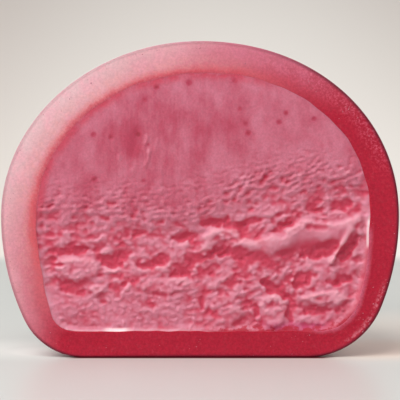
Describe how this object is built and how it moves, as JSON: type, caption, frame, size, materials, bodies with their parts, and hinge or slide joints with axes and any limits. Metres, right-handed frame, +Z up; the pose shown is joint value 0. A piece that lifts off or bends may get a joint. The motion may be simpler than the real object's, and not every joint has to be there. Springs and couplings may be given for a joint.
{
  "type": "cut mochi ice cream",
  "caption": "Half of a round mochi ice cream, cut open: a flat-based dome of translucent pink rice dough round pink ice cream with a smooth top and a torn, craggy lower face.",
  "frame": {"origin": "middle of the footprint's bounding box, on the surface that the flat base rests on", "axes": "+X to the right across the cut face, +Y away from it towards the round back, +Z up"},
  "size_m": [0.048, 0.024, 0.0382],
  "materials": {
    "rice_dough": "soft translucent rice dough, crimson where thick and pale pink where light passes through, dusted with a little starch",
    "ice_cream": "frozen pink ice cream, smeared smooth by the knife above and torn into frosty crags below"
  },
  "bodies": {
    "root": {"mochi_shell": "rice_dough", "ice_cream": "ice_cream"}
  },
  "joints": []
}
